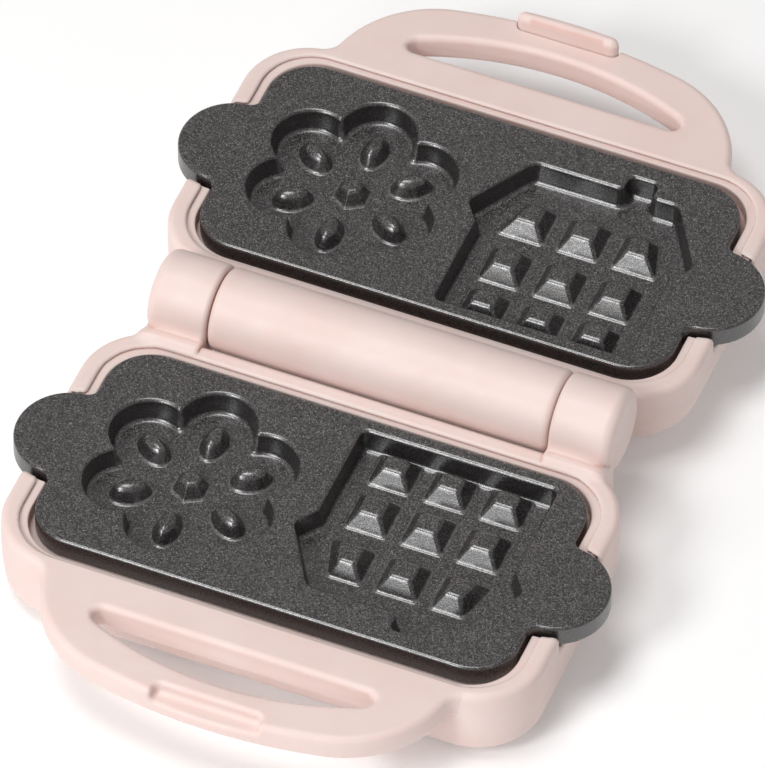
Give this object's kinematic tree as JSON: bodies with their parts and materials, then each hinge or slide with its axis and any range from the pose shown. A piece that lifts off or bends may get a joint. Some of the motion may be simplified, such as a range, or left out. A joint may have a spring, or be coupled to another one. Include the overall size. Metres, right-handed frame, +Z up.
{
  "type": "waffle maker",
  "caption": "Clamshell waffle maker stored open: pink moulded halves with loop handles, a rear barrel hinge, and dark plates with flower and house moulds.",
  "frame": {"origin": "on the surface it stands on, straight below the middle of the hinge axis, which is also the middle of the open object's footprint", "axes": "+X along the hinge, to the right seen from the base's handle; +Y from the base to the open lid; +Z up"},
  "size_m": [0.25, 0.3864, 0.0598],
  "materials": {
    "pink_shell": "matte",
    "coated_plate": "speckled non-stick coating, satin",
    "foot_rubber": "matte",
    "screw_steel": "zinc plated",
    "spring_steel": "bright",
    "reflector_aluminium": "bright",
    "ceramic": "unglazed",
    "element_sheath": "heat-darkened",
    "thermostat_body": "bakelite",
    "fuse_body": "plated",
    "gland_plastic": "matte",
    "wire_sleeve": "glass-fibre sleeve",
    "lens": "clear red",
    "lamp_glass": "clear"
  },
  "bodies": {
    "base": {"base_shell": "pink_shell", "base_frame": "pink_shell", "base_bottom_cover": "pink_shell", "base_feet": "foot_rubber", "base_screws": "screw_steel", "base_reflector": "reflector_aluminium", "base_reflector_posts": "ceramic", "base_heating_element": "element_sheath", "base_element_clips": "screw_steel", "lower_plate": "coated_plate", "lower_plate_catch": "spring_steel", "thermostat": "thermostat_body", "thermal_fuse": "fuse_body", "terminal_block": "ceramic", "cord_gland": "gland_plastic", "base_wiring": "wire_sleeve", "hinge_pins": "spring_steel"},
    "lid": {"lid_shell": "pink_shell", "lid_frame": "pink_shell", "lid_screws": "screw_steel", "lid_reflector": "reflector_aluminium", "lid_reflector_posts": "ceramic", "lid_heating_element": "element_sheath", "lid_element_clips": "screw_steel", "upper_plate": "coated_plate", "upper_plate_catch": "spring_steel", "indicator_lens": "lens", "indicator_lamp": "lamp_glass", "lid_wiring": "wire_sleeve", "latch_pin": "spring_steel", "latch_spring": "spring_steel"},
    "latch": {"latch": "pink_shell"}
  },
  "joints": [
    {"name": "lid_hinge", "type": "hinge", "parent": "base", "child": "lid", "pos_m": [0, 0, 0.0423], "axis": [1, 0, 0], "range_deg": [0, 180]},
    {"name": "latch_pivot", "type": "hinge", "parent": "lid", "child": "latch", "pos_m": [0, 0.1892, 0.0375], "axis": [-1, 0, 0], "range_deg": [0, 12], "stiffness_Nm_per_rad": 0.12, "springref_deg": -5.73}
  ]
}
